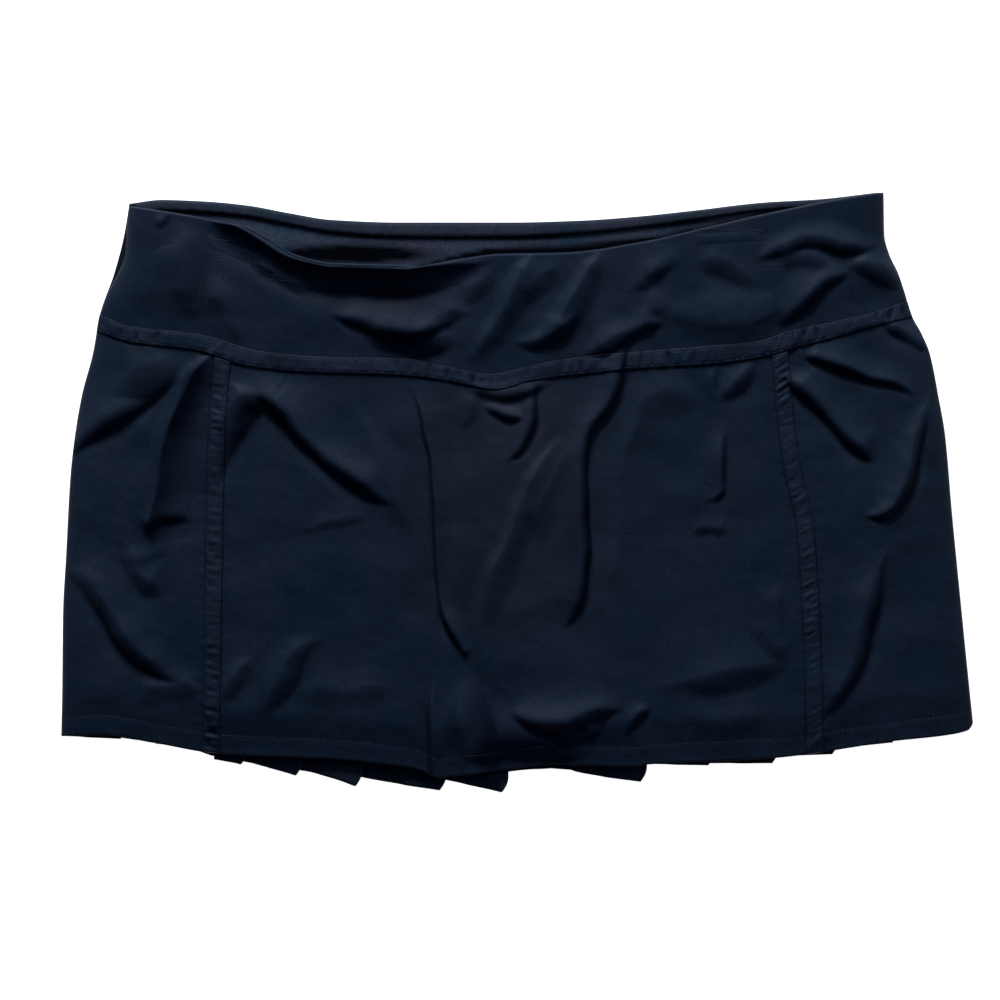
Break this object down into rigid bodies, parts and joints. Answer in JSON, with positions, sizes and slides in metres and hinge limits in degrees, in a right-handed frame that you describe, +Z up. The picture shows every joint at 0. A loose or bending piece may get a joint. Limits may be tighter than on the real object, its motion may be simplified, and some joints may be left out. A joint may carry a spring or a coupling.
{
  "type": "tennis skort, laid flat",
  "caption": "Short sports skirt with inner shorts, laid flat front up: deep waistband, taped front seams and a knife-pleated back.",
  "frame": {"origin": "on the table, under the middle of the garment's outline", "axes": "+X to the viewer's right across the garment, +Y from hem to waist, +Z up from the table, out of the front"},
  "size_m": [0.5203, 0.342, 0.0194],
  "materials": {
    "outer_cloth": "fine woven navy stretch cloth, matt with a faint sheen",
    "trim": "navy tape and casing of the same cloth, stitched along both edges",
    "liner": "matt navy knit"
  },
  "bodies": {
    "root": {"front_waistband": "outer_cloth", "front_waist_facing": "outer_cloth", "back_waistband": "outer_cloth", "back_waist_casing": "trim", "waist_tape_left": "trim", "waist_tape_centre": "trim", "waist_tape_right": "trim", "front_centre_panel": "outer_cloth", "front_side_panel_left": "outer_cloth", "front_side_panel_right": "outer_cloth", "princess_tape_left": "trim", "princess_tape_right": "trim", "pocket_welt_left": "trim", "pocket_welt_right": "trim", "back_pleated_panel": "outer_cloth", "shorts_left": "liner", "shorts_right": "liner"}
  },
  "joints": []
}
